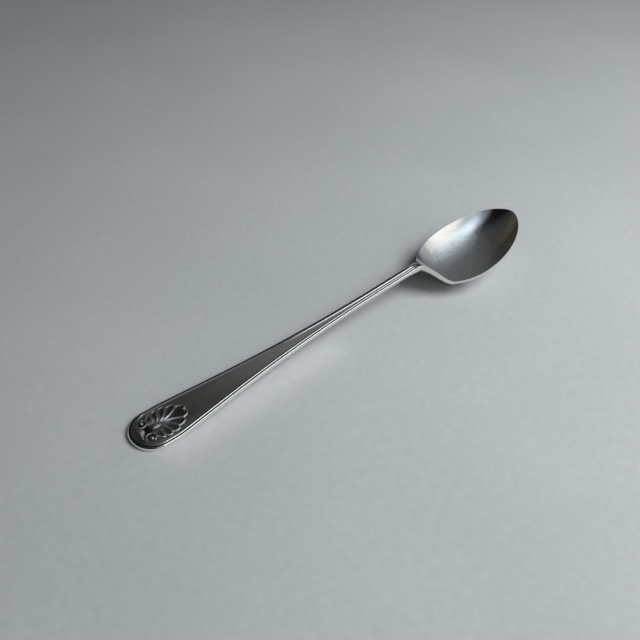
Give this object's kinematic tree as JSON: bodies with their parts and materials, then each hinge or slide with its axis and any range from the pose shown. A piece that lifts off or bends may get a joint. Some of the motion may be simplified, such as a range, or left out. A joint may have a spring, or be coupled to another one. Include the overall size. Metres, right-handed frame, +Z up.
{
  "type": "buffet spoon",
  "caption": "Long-handled serving spoon with an egg-shaped bowl, a cranked neck and a handle with a beaded edge, a thread border and a palmette with scrolls at its round end.",
  "frame": {"origin": "middle of the bounding box on the table plane, under the handle where the spoon lies at rest", "axes": "+X from the handle end to the bowl tip, +Y to the left seen from the handle end, +Z up, hollow side of the bowl upwards"},
  "size_m": [0.2304, 0.04, 0.0239],
  "materials": {
    "bowl_metal": "satin, worn by use, fine scratches along the bowl",
    "handle_metal": "polished top panel with fine wear scratches",
    "relief_metal": "struck relief, bright on the crests and dark with tarnish in the hollows"
  },
  "bodies": {
    "root": {"bowl": "bowl_metal", "handle": "handle_metal", "edge_bead": "relief_metal", "thread_left": "relief_metal", "thread_right": "relief_metal", "scroll_left": "relief_metal", "scroll_right": "relief_metal", "eye_left": "relief_metal", "eye_right": "relief_metal", "husk": "relief_metal", "heart": "relief_metal", "petal_left_1": "relief_metal", "petal_left_2": "relief_metal", "petal_left_3": "relief_metal", "petal_left_4": "relief_metal", "petal_left_5": "relief_metal", "petal_right_1": "relief_metal", "petal_right_2": "relief_metal", "petal_right_3": "relief_metal", "petal_right_4": "relief_metal", "petal_right_5": "relief_metal"}
  },
  "joints": []
}
